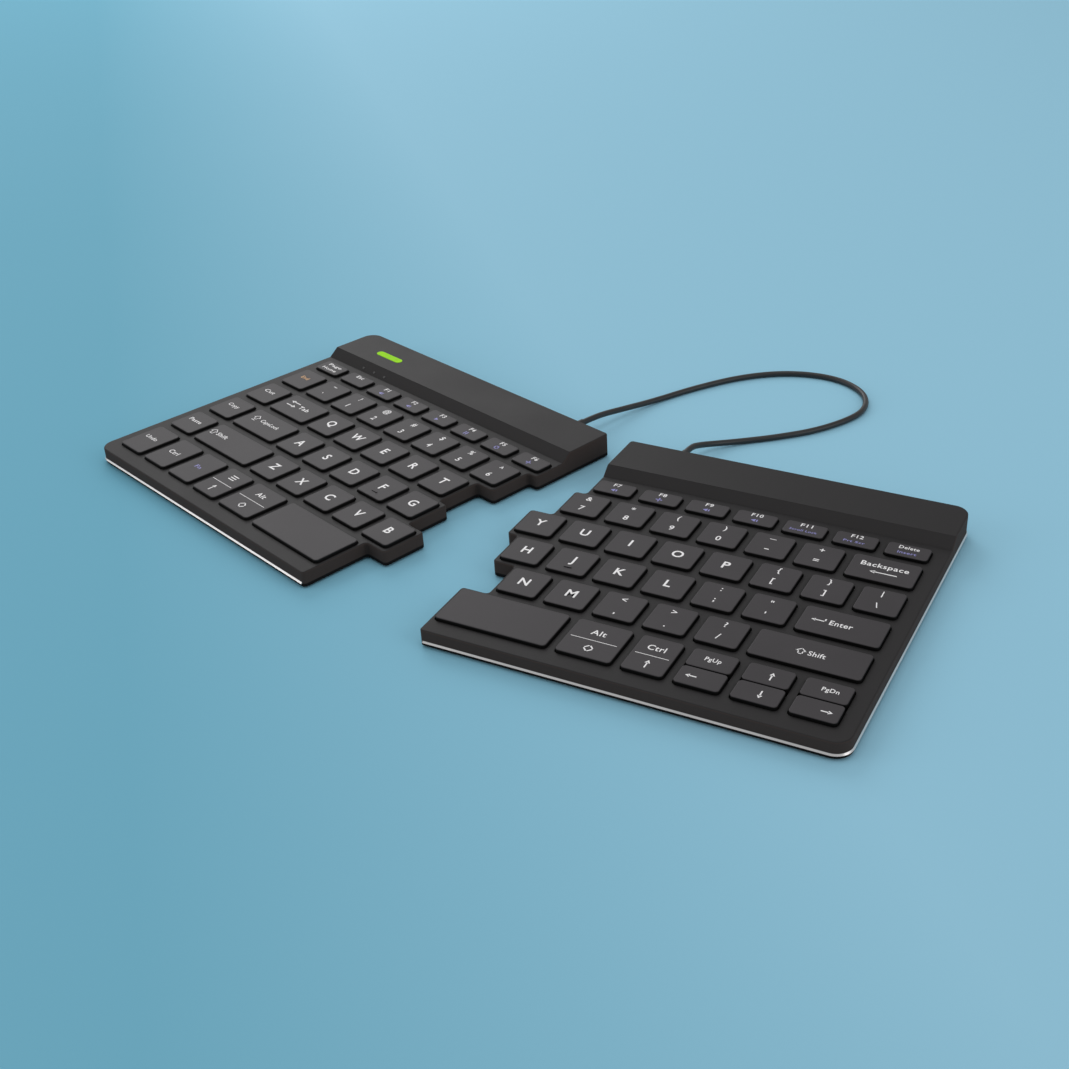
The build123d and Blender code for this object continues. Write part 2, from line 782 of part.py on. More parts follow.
def cord_radii(points):
    """Radius of the bend at each inner point of the route: as large as its two runs allow."""
    radii = []
    for before, here, after in zip(points, points[1:], points[2:]):
        into = here - before
        out = after - here
        half_turn = radians(into.get_angle(out)) / 2
        radii.append(0.45 * min(into.length, out.length) / tan(half_turn))
    return radii


bend_radii = cord_radii(cord_points)
with BuildPart() as link_cord:
    with BuildLine():
        route = FilletPolyline(*cord_points, radius=bend_radii)
    with BuildSketch(Plane(origin=route @ 0, z_dir=route % 0)):
        Circle(cord_radius)
    sweep(path=route)
write(link_cord.part, "link_cord")

# The key caps: hollow, with a plunger on the dome, one node for each named key or group of keys
for side in SIDES:
    for node, caps in keys[side].items():
        with BuildPart() as key:
            with BuildSketch(half_plane(side, cap_bottom)):
                add(cap_sketch(caps, 0, cap_corner))
            extrude(amount=cap_height)
            fillet(key.faces().filter_by(Axis.Z).group_by(Axis.Z)[-1].edges(), radius=cap_edge)
            with BuildSketch(half_plane(side, cap_bottom)):
                add(cap_sketch(caps, -cap_wall, cap_corner - cap_wall))
            extrude(amount=cap_height - cap_top_wall, mode=Mode.SUBTRACT)
            with BuildSketch(half_plane(side, plunger_bottom)):
                with Locations(*[(cap.x, cap.y) for cap in caps]):
                    Circle(plunger_radius)
            extrude(amount=cap_top - cap_top_wall - plunger_bottom)
            if node in homing_nodes:
                bar_y = caps[0].y - caps[0].depth / 2 + homing_bar_inset
                with BuildSketch(half_plane(side, cap_top)):
                    with Locations((caps[0].x, bar_y)):
                        Rectangle(homing_bar_length, homing_bar_width)
                extrude(amount=homing_bar_height)
        write(key.part, node)

print("cord radii", [round(radius, 1) for radius in bend_radii])
print("cord length", round(route.length, 1))
print("cord volume share", report["link_cord"][1] / (pi * cord_radius**2 * route.length))
swivel_axis = half_plane(RIGHT, 0).from_local_coords((gland_places[RIGHT], rear_y - case_wall / 2, 0))
print("swivel axis", swivel_axis, "knob slides along", half_plane(LEFT, 0).x_dir)
print("dome foot", membrane_top, "neck tips", neck_tip)
print("pieces", len(report), "solids", sum(count for count, volume in report.values()))
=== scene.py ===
import json
import logging
from dataclasses import dataclass, field
from enum import Enum
from math import radians
from typing import Any

import bpy
from mathutils import Matrix, Vector


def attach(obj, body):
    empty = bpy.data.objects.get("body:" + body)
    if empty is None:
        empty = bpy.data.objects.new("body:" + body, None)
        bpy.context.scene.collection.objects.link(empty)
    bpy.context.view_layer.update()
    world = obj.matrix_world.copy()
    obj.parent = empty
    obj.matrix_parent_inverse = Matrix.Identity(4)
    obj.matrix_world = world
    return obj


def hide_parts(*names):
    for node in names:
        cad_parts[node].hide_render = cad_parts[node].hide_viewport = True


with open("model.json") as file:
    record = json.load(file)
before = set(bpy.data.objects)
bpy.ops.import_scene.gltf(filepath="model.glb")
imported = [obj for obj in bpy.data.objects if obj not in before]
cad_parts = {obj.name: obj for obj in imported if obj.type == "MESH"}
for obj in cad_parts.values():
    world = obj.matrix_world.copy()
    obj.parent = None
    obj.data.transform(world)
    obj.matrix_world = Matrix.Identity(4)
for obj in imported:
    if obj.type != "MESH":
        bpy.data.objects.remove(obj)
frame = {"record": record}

logging.basicConfig(level=logging.INFO, format="%(message)s")
log = logging.getLogger("split_keyboard")
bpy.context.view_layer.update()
MM = 0.001

Colour = tuple[float, float, float]
Place = tuple[float, float, float]
Outline = tuple[list[Vector], list[list[int]]]
Socket = bpy.types.NodeSocket


class Side(Enum):
    """Which half of the keyboard a thing belongs to."""

    LEFT = -1
    RIGHT = 1


class Row(Enum):
    """Rows of keys, rear row first."""

    FUNCTION = 0
    NUMBER = 1
    UPPER = 2
    HOME = 3
    LOWER = 4
    BOTTOM = 5


class Ink(Enum):
    """Colours that the key legends are printed in."""

    WHITE = (0.95, 0.94, 0.95)
    LILAC = (0.30, 0.29, 0.64)
    AMBER = (0.75, 0.42, 0.18)


class Sign(Enum):
    """Drawn signs: strokes in millimetres about the middle, where closed triangles are filled."""

    LEFT = (((-0.6, 0.0), (1.8, 0.0)), ((-1.9, 0.0), (-0.4, 0.9), (-0.4, -0.9), (-1.9, 0.0)))
    RIGHT = (((-1.8, 0.0), (0.6, 0.0)), ((1.9, 0.0), (0.4, -0.9), (0.4, 0.9), (1.9, 0.0)))
    UP = (((0.0, -1.8), (0.0, 0.6)), ((0.0, 1.9), (-0.9, 0.4), (0.9, 0.4), (0.0, 1.9)))
    DOWN = (((0.0, -0.6), (0.0, 1.8)), ((0.0, -1.9), (0.9, -0.4), (-0.9, -0.4), (0.0, -1.9)))
    RETURN = (
        ((2.6, 1.3), (2.6, 0.0), (-1.4, 0.0)),
        ((-2.7, 0.0), (-1.0, 0.85), (-1.0, -0.85), (-2.7, 0.0)),
    )
    LONG_LEFT = (
        ((-3.6, 0.0), (4.9, 0.0)),
        ((-4.9, 0.0), (-2.9, 0.95), (-2.9, -0.95), (-4.9, 0.0)),
    )
    SHIFT = (
        (
            *((-0.8, -1.5), (-0.8, 0.1), (-1.8, 0.1), (0.0, 1.7)),
            *((1.8, 0.1), (0.8, 0.1), (0.8, -1.5), (-0.8, -1.5)),
        ),
    )
    LOCK = (
        (
            *((-0.8, -0.8), (-0.8, 0.4), (-1.8, 0.4), (0.0, 2.0)),
            *((1.8, 0.4), (0.8, 0.4), (0.8, -0.8), (-0.8, -0.8)),
        ),
        ((-0.9, -1.7), (0.9, -1.7)),
    )
    TABS = (
        ((-1.4, 1.3), (2.4, 1.3)),
        ((-2.6, 1.3), (-1.0, 2.2), (-1.0, 0.4), (-2.6, 1.3)),
        ((-2.4, -1.3), (1.4, -1.3)),
        ((2.6, -1.3), (1.0, -2.2), (1.0, -0.4), (2.6, -1.3)),
    )
    DIAMOND = (((0.0, 1.6), (1.6, 0.0), (0.0, -1.6), (-1.6, 0.0), (0.0, 1.6)),)
    MENU = (((-1.5, 1.2), (1.5, 1.2)), ((-1.5, 0.0), (1.5, 0.0)), ((-1.5, -1.2), (1.5, -1.2)))
    RULE = (((-1.0, 0.0), (1.0, 0.0)),)
    RING = (((-0.9, -0.9), (0.9, -0.9), (0.9, 0.9), (-0.9, 0.9), (-0.9, -0.9)),)
    PLAY = (((-0.8, 1.0), (-0.8, -1.0), (1.1, 0.0), (-0.8, 1.0)),)
    PAUSE = (((-0.6, -0.9), (-0.6, 0.9)), ((0.6, -0.9), (0.6, 0.9)))
    HORN = (((-1.2, 0.0), (0.6, -1.0), (0.6, 1.0), (-1.2, 0.0)), ((1.3, -0.5), (1.3, 0.5)))
    SUN = (((-1.1, 0.0), (1.1, 0.0)), ((0.0, -1.1), (0.0, 1.1)))


@dataclass(frozen=True)
class Mark:
    """One printed word, letter or sign on a key cap, in millimetres from the cap's middle.

    The size is a word's type size or a sign's scale. A width of 0 leaves a word as it is.
    """

    content: str | Sign
    x: float
    y: float
    size: float
    wide: float = 0.0
    ink: Ink = Ink.WHITE


@dataclass(frozen=True)
class Key:
    """One key cap of a row: its CAD node, its cell's width in pitches and its marks."""

    node: str
    width: float
    marks: tuple[Mark, ...]


@dataclass(frozen=True)
class Run:
    """Keys side by side in one row, and where they start, in pitches."""

    row: Row
    start: float
    keys: list[Key]


def letter(symbol: str) -> tuple[Mark, ...]:
    """Marks of a letter key."""
    return (Mark(symbol, -0.2, 0.4, 5.9),)


def pair(upper: str, lower: str) -> tuple[Mark, ...]:
    """Marks of a key with a shifted sign above its plain one.

    Args:
        upper: the shifted sign.
        lower: the plain sign; a comma or a full stop sits lower.

    Returns:
        The two marks.
    """
    drop = 1.9 if lower in ",." else 0.0
    widths = {"_": 2.6, "-": 1.8}
    return (
        Mark(upper, -0.4, 4.3, 4.0, widths.get(upper, 0.0)),
        Mark(lower, -0.4, -2.9 - drop, 4.3, widths.get(lower, 0.0)),
    )


def function(label: str, second: str | Sign, wide: float = 0.0) -> tuple[Mark, ...]:
    """Marks of a function key: its name at the rear and a lilac word or sign before it.

    Args:
        label: the key's name.
        second: the lilac word or sign.
        wide: the word's width, or 0 for a sign.

    Returns:
        The two marks.
    """
    size = 1.9 if wide else 1.0
    label_width = 1.55 * len(label)
    return (
        Mark(label, 0.0, 2.3, 3.1, label_width),
        Mark(second, -0.2, -1.5, size, wide, Ink.LILAC),
    )


def split(upper: Mark, lower: Sign, rule: float) -> tuple[Mark, ...]:
    """Marks of a bottom-row key: two legends with a thin rule between them."""
    return (upper, Mark(Sign.RULE, -0.1, -0.4, rule / 2), Mark(lower, 0.1, -5.0, 1.1))


class Value:
    """A number socket in a node tree; arithmetic on it adds Math nodes."""

    def __init__(self, shader: "Shader", socket: Socket) -> None:
        """Keep the tree's builder and the socket."""
        self.shader = shader
        self.socket = socket

    def math(self, operation: str, *values: "Value | float") -> "Value":
        """A Math node on values.

        Args:
            operation: the Math node's operation.
            values: wrapped sockets or numbers.

        Returns:
            The node's output, wrapped.
        """
        settings = {"operation": operation}
        found = self.shader.node("ShaderNodeMath", settings, dict(enumerate(values)))
        return Value(self.shader, found.outputs[0])

    def __add__(self, other: "Value | float") -> "Value":
        """self + other."""
        return self.math("ADD", self, other)

    def __sub__(self, other: "Value | float") -> "Value":
        """self - other."""
        return self.math("SUBTRACT", self, other)

    def __mul__(self, other: "Value | float") -> "Value":
        """self * other."""
        return self.math("MULTIPLY", self, other)

    def __rsub__(self, other: "Value | float") -> "Value":
        """other - self."""
        return self.math("SUBTRACT", other, self)

    __radd__ = __add__
    __rmul__ = __mul__

    def clamped(self, low: float, high: float) -> "Value":
        """Values from low to high spread over 0 to 1.

        Args:
            low: what becomes 0.
            high: what becomes 1.

        Returns:
            The clamped share, wrapped.
        """
        scaled = (self - low) * (1.0 / (high - low))
        return self.math("MINIMUM", self.math("MAXIMUM", scaled, 0.0), 1.0)


class Shader:
    """Builds one material's node tree."""

    MIX_COLOURS = (6, 7)
    MIX_RESULT = 2

    def __init__(self, name: str) -> None:
        """Start a material with an empty tree and its output.

        Args:
            name: the material's name.
        """
        self.material = bpy.data.materials.new(name)
        self.material.use_nodes = True
        self.tree = self.material.node_tree
        self.tree.nodes.clear()
        self.output = self.node("ShaderNodeOutputMaterial", {}, {})

    def node(
        self, kind: str, settings: dict[str, Any], inputs: dict[str | int, Any]
    ) -> bpy.types.Node:
        """Add one node.

        Args:
            kind: the node's type.
            settings: its properties, set before its sockets.
            inputs: values or links by socket name or number.

        Returns:
            The new node.
        """
        made = self.tree.nodes.new(kind)
        for key, value in settings.items():
            setattr(made, key, value)
        for key, value in inputs.items():
            source = value.socket if isinstance(value, Value) else value
            if isinstance(source, Socket):
                self.tree.links.new(source, made.inputs[key])
            else:
                made.inputs[key].default_value = source
        return made

    def value(
        self,
        kind: str,
        settings: dict[str, Any],
        inputs: dict[str | int, Any],
        output: str | int = 0,
    ) -> Value:
        """Add one node and wrap one of its outputs.

        Args:
            kind: the node's type.
            settings: its properties.
            inputs: values or links by socket.
            output: name or number of the output.

        Returns:
            The output, wrapped.
        """
        return Value(self, self.node(kind, settings, inputs).outputs[output])

    def place(self) -> Socket:
        """Object coordinates of the surface."""
        return self.node("ShaderNodeTexCoord", {}, {}).outputs["Object"]

    def noise(self, scale: float, detail: float = 2.0, seed: float = 0.0) -> Value:
        """Noise over the surface.

        Args:
            scale: grains in a metre.
            detail: octaves.
            seed: shifts the pattern.

        Returns:
            The noise, 0 to 1.
        """
        settings = {"noise_dimensions": "4D"}
        inputs = {"Vector": self.place(), "W": seed, "Scale": scale, "Detail": detail}
        return self.value("ShaderNodeTexNoise", settings, inputs)

    def mix(self, share: Value, low: Colour | Socket, high: Colour | Socket) -> Socket:
        """A colour between two, by a share.

        Args:
            share: 0 gives low and 1 gives high.
            low: first colour or socket.
            high: second colour or socket.

        Returns:
            The mixed colour's socket.
        """
        mixer = self.node("ShaderNodeMix", {"data_type": "RGBA"}, {"Factor": share})
        for number, colour in zip(self.MIX_COLOURS, (low, high)):
            socket = mixer.inputs[number]
            if isinstance(colour, Socket):
                self.tree.links.new(colour, socket)
            else:
                socket.default_value = (*colour, 1.0)
        return mixer.outputs[self.MIX_RESULT]

    def height(self) -> Value:
        """How high the surface lies above its object's origin, in metres."""
        return self.value("ShaderNodeSeparateXYZ", {}, {0: self.place()}, "Z")

    def upward(self) -> Value:
        """How far the true surface faces up, -1 to 1."""
        normal = self.node("ShaderNodeNewGeometry", {}, {}).outputs["True Normal"]
        return self.value("ShaderNodeSeparateXYZ", {}, {0: normal}, "Z")

    def openness(self, reach: float) -> Value:
        """How free the surface is of near walls.

        Args:
            reach: how far off a wall counts, in metres.

        Returns:
            The share, 1 on an open face, wrapped.
        """
        settings = {"samples": 8}
        return self.value("ShaderNodeAmbientOcclusion", settings, {"Distance": reach}, "AO")

    def bump(self, height: Value, distance: float, strength: float = 0.4) -> Socket:
        """A bumped normal.

        Args:
            height: the relief, 0 to 1.
            distance: its depth in metres.
            strength: its share.

        Returns:
            The normal's socket.
        """
        inputs = {"Height": height, "Distance": distance, "Strength": strength}
        return self.node("ShaderNodeBump", {}, inputs).outputs[0]

    def surface(self, inputs: dict[str, Any]) -> bpy.types.Material:
        """Finish the material with a Principled shader.

        Args:
            inputs: values or links by socket name.

        Returns:
            The material.
        """
        shader = self.node("ShaderNodeBsdfPrincipled", {}, inputs)
        self.tree.links.new(shader.outputs[0], self.output.inputs["Surface"])
        return self.material


def shade(colour: Colour, factor: float) -> Colour:
    """A colour made lighter or darker by a factor."""
    return tuple(min(1.0, channel * factor) for channel in colour)


@dataclass(frozen=True)
class Plastic:
    """Moulded plastic: a fine grain, faint clouds and duller side walls with painted light and
    shade.

    A cloud is a lighter patch of the tops. Where crevice is set, gaps narrower than it
    are painted dark as painted shade, and the side walls start where the surface faces up
    less than side_slopes. The side walls' colour is painted light and shade by facing.
    """

    name: str
    colour: Colour
    painted_side_colour: Colour
    roughness: float = 0.5
    grain: float = 2600.0
    depth: float = 0.00004
    specular: float = 0.4
    crevice: float = 0.0
    side_dullness: float = 0.35
    cloud_scale: float = 38.0
    cloud_band: tuple[float, float] = (0.35, 0.65)
    cloud_lift: float = 1.14
    cloud_sheen: float = 0.12
    grain_sheen: float = 0.10
    side_slopes: tuple[float, float] = (0.45, 0.8)
    crevice_shares: tuple[float, float] = (0.72, 0.92)
    painted_gap_shade: Colour = (0.001, 0.001, 0.001)

    def material(self) -> bpy.types.Material:
        """Build the finish.

        Returns:
            The material.
        """
        shader = Shader(self.name)
        cloud = shader.noise(self.cloud_scale, detail=3.0)
        grain = shader.noise(self.grain, detail=1.0, seed=3.0)
        cloudy = shade(self.colour, self.cloud_lift)
        top = shader.mix(cloud.clamped(*self.cloud_band), self.colour, cloudy)
        # Side walls take their own colour by facing: painted light and shade, not a tone of the
        # plastic.
        facing_up = shader.upward().clamped(*self.side_slopes)
        colour = shader.mix(facing_up, self.painted_side_colour, top)
        roughness = (1.0 - facing_up) * self.side_dullness + self.roughness
        uneven = (cloud - 0.5) * self.cloud_sheen
        grainy = (grain - 0.5) * self.grain_sheen
        # Painted shade: the ambient occlusion share darkens narrow gaps, such as the deck between
        # the caps.
        if self.crevice:
            open_share = shader.openness(self.crevice).clamped(*self.crevice_shares)
            colour = shader.mix(open_share, self.painted_gap_shade, colour)
        return shader.surface(
            {
                "Base Color": colour,
                "Roughness": roughness + uneven + grainy,
                "Specular IOR Level": self.specular,
                "Normal": shader.bump(grain, self.depth),
            }
        )


@dataclass(frozen=True)
class Plating:
    """Bright plated strip: polished below; its upper edge, where it meets the case, is painted
    dark as painted shade.
    """

    name: str
    colour: Colour
    metallic: float
    roughness: float
    line_height: float = 0.0027
    line_blur: float = 0.0001
    edge_shade_colour: Colour = (0.03, 0.028, 0.028)
    line_dullness: float = 0.2
    cloud_scale: float = 60.0
    cloud_band: tuple[float, float] = (0.4, 0.7)
    cloud_shade: float = 0.92
    cloud_sheen: float = 0.06
    pit_scale: float = 900.0
    pit_depth: float = 0.00001

    def material(self) -> bpy.types.Material:
        """Build the finish.

        Returns:
            The material.
        """
        shader = Shader(self.name)
        cloud = shader.noise(self.cloud_scale, detail=3.0)
        dull = shade(self.colour, self.cloud_shade)
        polished = shader.mix(cloud.clamped(*self.cloud_band), self.colour, dull)
        # Painted shade: above the line height the strip is painted dark and duller, so its bright
        # highlight stays narrow.
        edge_shade = shader.height().clamped(self.line_height, self.line_height + self.line_blur)
        roughness = self.roughness + cloud * self.cloud_sheen + edge_shade * self.line_dullness
        pits = shader.noise(self.pit_scale)
        return shader.surface(
            {
                "Base Color": shader.mix(edge_shade, polished, self.edge_shade_colour),
                "Metallic": self.metallic,
                "Roughness": roughness,
                "Coat Weight": 0.3,
                "Coat Roughness": 0.1,
                "Normal": shader.bump(pits, self.pit_depth, strength=0.1),
            }
        )


@dataclass(frozen=True)
class Metal:
    """Drawn or plated sheet metal, brushed along one way."""

    name: str
    colour: Colour
    roughness: float
    brush: Place = (60.0, 2600.0, 2600.0)
    brush_depth: float = 0.00001
    brush_sheen: float = 0.2
    stain_scale: float = 45.0
    stain_band: tuple[float, float] = (0.4, 0.75)
    stain_shade: float = 0.72

    def material(self) -> bpy.types.Material:
        """Build the finish.

        Returns:
            The material.
        """
        shader = Shader(self.name)
        factors = {0: shader.place(), 1: self.brush}
        stretched = shader.node("ShaderNodeVectorMath", {"operation": "MULTIPLY"}, factors)
        inputs = {"Vector": stretched.outputs[0], "Scale": 1.0, "Detail": 3.0}
        lines = shader.value("ShaderNodeTexNoise", {}, inputs)
        stain = shader.noise(self.stain_scale, detail=4.0, seed=2.0)
        stained = shade(self.colour, self.stain_shade)
        return shader.surface(
            {
                "Base Color": shader.mix(
                    stain.clamped(*self.stain_band), self.colour, stained
                ),
                "Metallic": 1.0,
                "Roughness": self.roughness + (lines - 0.5) * self.brush_sheen,
                "Normal": shader.bump(lines, self.brush_depth, strength=0.3),
            }
        )


@dataclass(frozen=True)
class Rubber:
    """Soft rubber or cord jacket: dull, with a fine pebble."""

    name: str
    colour: Colour
    roughness: float = 0.6
    pebble: float = 1500.0
    sheen: float = 0.1
    pebble_depth: float = 0.00003
    pebble_sheen: float = 0.16
    dust_scale: float = 90.0
    dust_band: tuple[float, float] = (0.55, 0.8)
    dust_shade: float = 1.5
    dust_lift: float = 0.01

    def material(self) -> bpy.types.Material:
        """Build the finish.

        Returns:
            The material.
        """
        shader = Shader(self.name)
        pebble = shader.noise(self.pebble, detail=2.0, seed=1.0)
        dust = shader.noise(self.dust_scale, detail=4.0, seed=4.0).clamped(*self.dust_band)
        dusty = tuple(channel * self.dust_shade + self.dust_lift for channel in self.colour)
        return shader.surface(
            {
                "Base Color": shader.mix(dust, self.colour, dusty),
                "Roughness": self.roughness + (pebble - 0.5) * self.pebble_sheen,
                "Sheen Weight": self.sheen,
                "Normal": shader.bump(pebble, self.pebble_depth),
            }
        )


@dataclass(frozen=True)
class Film:
    """Thin printed sheet or wrap with fine tracks, such as a membrane or a board."""

    name: str
    colour: Colour
    track: Colour
    pitch: float
    roughness: float = 0.4
    wander: float = 2.5
    track_band: tuple[float, float] = (0.72, 0.84)
    track_depth: float = 0.00002
    track_sheen: float = 0.1

    def material(self) -> bpy.types.Material:
        """Build the finish.

        Returns:
            The material.
        """
        shader = Shader(self.name)
        settings = {"wave_type": "BANDS", "bands_direction": "DIAGONAL"}
        inputs = {
            "Vector": shader.place(),
            "Scale": self.pitch,
            "Distortion": self.wander,
            "Detail": 1.0,
        }
        wave = shader.value("ShaderNodeTexWave", settings, inputs, "Fac")
        tracks = wave.clamped(*self.track_band)
        return shader.surface(
            {
                "Base Color": shader.mix(tracks, self.colour, self.track),
                "Roughness": self.roughness + tracks * self.track_sheen,
                "Normal": shader.bump(tracks, self.track_depth),
            }
        )


@dataclass(frozen=True)
class Lens:
    """Moulded light-pipe plastic: the lamp on the bar glows, those on the slope are off."""

    name: str
    colour: Colour
    off_colour: Colour
    glow: float
    slope_top: float = 0.0097
    edge_blur: float = 0.0001
    roughness: float = 0.35
    cloud_scale: float = 260.0
    cloud_band: tuple[float, float] = (0.3, 0.7)
    cloud_lift: float = 1.2
    cloud_sheen: float = 0.1
    cloud_depth: float = 0.00001

    def material(self) -> bpy.types.Material:
        """Build the finish.

        Returns:
            The material.
        """
        shader = Shader(self.name)
        cloud = shader.noise(self.cloud_scale, detail=3.0)
        pale = shade(self.colour, self.cloud_lift)
        lit = shader.height().clamped(self.slope_top - self.edge_blur, self.slope_top)
        glowing = shader.mix(cloud.clamped(*self.cloud_band), self.colour, pale)
        return shader.surface(
            {
                "Base Color": shader.mix(lit, self.off_colour, glowing),
                "Roughness": self.roughness + cloud * self.cloud_sheen,
                "Specular IOR Level": 0.03,
                "Emission Color": shader.mix(lit, (0.0, 0.0, 0.0), self.colour),
                "Emission Strength": self.glow,
                "Normal": shader.bump(cloud, self.cloud_depth, strength=0.15),
            }
        )


@dataclass(frozen=True)
class Print:
    """Legend ink: flat colour with slightly uneven cover."""

    name: str
    colour: Colour
    roughness: float = 0.5
    cover_scale: float = 1800.0
    cover_band: tuple[float, float] = (0.35, 0.6)
    cover_sheen: float = 0.2
    thin_shade: float = 0.9

    def material(self) -> bpy.types.Material:
        """Build the finish.

        Returns:
            The material.
        """
        shader = Shader(self.name)
        cover = shader.noise(self.cover_scale)
        thin = shade(self.colour, self.thin_shade)
        return shader.surface(
            {
                "Base Color": shader.mix(cover.clamped(*self.cover_band), thin, self.colour),
                "Roughness": self.roughness + (cover - 0.5) * self.cover_sheen,
                "Specular IOR Level": 0.3,
            }
        )


@dataclass(frozen=True)
class Desk:
    """The pale floor: one plain colour, with painted shade that darkens it a little towards the
    front left.
    """

    name: str
    colour: Colour
    shaded_colour: Colour
    towards: Place = (0.607, 0.794, 0.0)
    shaded_end: float = -0.15
    unshaded_end: float = 0.06
    roughness: float = 0.82
    cloud_scale: float = 3.0
    cloud_band: tuple[float, float] = (0.3, 0.7)
    cloud_sheen: float = 0.06

    def material(self) -> bpy.types.Material:
        """Build the finish.

        Returns:
            The material.
        """
        shader = Shader(self.name)
        factors = {0: shader.place(), 1: self.towards}
        settings = {"operation": "DOT_PRODUCT"}
        run = shader.value("ShaderNodeVectorMath", settings, factors, "Value")
        # Painted shade: the colour darkens from the back right towards the front left.
        pale = run.clamped(self.shaded_end, self.unshaded_end)
        cloud = shader.noise(self.cloud_scale, detail=3.0).clamped(*self.cloud_band)
        return shader.surface(
            {
                "Base Color": shader.mix(pale, self.shaded_colour, self.colour),
                "Roughness": cloud * self.cloud_sheen + self.roughness,
                "Specular IOR Level": 0.1,
            }
        )


@dataclass
class HalfFrame:
    """Plan frame of one half: x along its rows, y to its rear, in millimetres."""

    side: Side
    splay: float = 18.75
    origins: dict[Side, tuple[float, float]] = field(
        default_factory=lambda: {
            Side.LEFT: (-143.70505, 13.98176),
            Side.RIGHT: (-109.36896, -30.89594),
        }
    )

    def matrix(self) -> Matrix:
        """Where the half's rows lie.

        Returns:
            The change from row millimetres to the model's metres.
        """
        x, y = self.origins[self.side]
        turn = Matrix.Rotation(self.side.value * radians(self.splay / 2), 4, "Z")
        return Matrix.Translation((x * MM, y * MM, 0.0)) @ turn @ Matrix.Scale(MM, 4)


@dataclass
class KeyLegends:
    """Printed legends of all the keys: one mesh for each key node and ink.

    Sizes are millimetres, but function_split and right_end are pitches, and the weights
    are shares of the type's size.
    """

    pitch: float = 19.0
    row_pitch: float = 19.4
    cap_gap_y: float = 4.2
    letter_depth: float = 15.2
    function_depth: float = 8.5
    bottom_depth: float = 19.8
    half_key_gap: float = 0.5
    bottom_split: float = 127.0
    function_split: float = 7.25
    function_count: int = 7
    left_space: float = 46.25
    right_space: float = 46.9
    right_alt: float = 24.1
    right_ctrl: float = 18.7
    right_end: float = 14.5
    cap_top: float = 8.3
    print_lift: float = 0.02
    stroke: float = 0.5
    weight: float = 0.021
    word_weight: float = 0.013
    letter_spacing: float = 1.08
    stroke_shares: dict[Sign, float] = field(
        default_factory=lambda: {Sign.RULE: 0.5, Sign.SHIFT: 0.7, Sign.LOCK: 0.7}
    )
    inks: dict[Ink, bpy.types.Material] = field(default_factory=dict)
    printed: dict[tuple[str, Ink], list[Outline]] = field(default_factory=dict)

    def row_y(self, row: Row) -> float:
        """Centre line of a row.

        Args:
            row: the row; the upper letters' line is at 0.

        Returns:
            Its place towards the rear, in millimetres.
        """
        edge = self.letter_depth / 2 + self.cap_gap_y
        if row is Row.FUNCTION:
            return self.row_pitch + edge + self.function_depth / 2
        if row is Row.BOTTOM:
            return -2 * self.row_pitch - edge - self.bottom_depth / 2
        return (Row.UPPER.value - row.value) * self.row_pitch

    def left_rows(self) -> list[Run]:
        """What the left half's rows hold.

        Returns:
            A run of keys for each row, and the outer column's keys one by one.
        """
        upper, side = "left_upper_keys", "left_modifier_keys"
        function_width = self.function_split / self.function_count
        signs = [Sign.HORN, Sign.HORN, Sign.PLAY, Sign.PAUSE, Sign.RING, Sign.SUN]
        functions = [Key(upper, function_width, (Mark("Esc", -0.4, 2.3, 3.1, 4.8),))]
        functions += self.function_keys(upper, function_width, 1, signs)
        tab_marks = (Mark(Sign.TABS, -5.4, 0.9, 1.2), Mark("Tab", 2.6, 0.8, 3.4, 6.8))
        lock_marks = (Mark(Sign.LOCK, -8.6, 1.2, 1.1), Mark("CapsLock", 1.6, 1.0, 3.1, 12.6))
        shift_marks = (Mark(Sign.SHIFT, -16.4, 0.9, 1.1), Mark("Shift", -9.8, 0.9, 3.3, 7.4))
        tab = Key(side, 1.5, tab_marks)
        caps = Key(side, 1.75, lock_marks)
        shift = Key(side, 2.25, shift_marks)
        column = {row: Key("left_column_keys", 1.0, self.column_marks(row)) for row in Row}
        bottom = [
            Key(side, 1.0, (Mark("Ctrl", -0.2, 0.5, 3.4, 6.4),)),
            Key(side, 1.0, (Mark("Fn", -0.3, 0.5, 3.0, 3.7, Ink.LILAC),)),
            Key(side, 1.0, split(Mark(Sign.MENU, 0.3, 4.8, 1.1), Sign.UP, 13.0)),
            Key(side, 1.25, split(Mark("Alt", -0.2, 4.3, 3.6, 5.6), Sign.DIAMOND, 16.8)),
            Key("key_space_left", self.left_space / self.pitch, ()),
        ]
        return [
            Run(Row.FUNCTION, 0.0, functions),
            Run(Row.NUMBER, 0.0, self.pairs(upper, "~`", "!1", "@2", "#3", "$4", "%5", "^6")),
            Run(Row.UPPER, 0.0, [tab] + self.letters("QWERT")),
            Run(Row.HOME, 0.0, [caps] + self.letters("ASDFG")),
            Run(Row.LOWER, 0.0, [shift] + self.letters("ZXCVB")),
            Run(Row.BOTTOM, 0.0, bottom),
            *[Run(row, -1.0, [key]) for row, key in column.items()],
        ]

    def column_marks(self, row: Row) -> tuple[Mark, ...]:
        """Marks of the left half's outer column.

        Args:
            row: the row.

        Returns:
            The marks of its key in that row.
        """
        if row is Row.FUNCTION:
            return (Mark("Page", 0.0, 1.7, 2.6, 9.0), Mark("Home", 0.0, -1.6, 2.6, 9.6))
        words = {
            Row.NUMBER: ("End", 5.0),
            Row.UPPER: ("Cut", 7.0),
            Row.HOME: ("Copy", 7.6),
            Row.LOWER: ("Paste", 8.4),
            Row.BOTTOM: ("Undo", 8.0),
        }
        word, wide = words[row]
        ink = Ink.AMBER if row is Row.NUMBER else Ink.WHITE
        return (Mark(word, -0.6, 1.2, 3.0, wide, ink),)

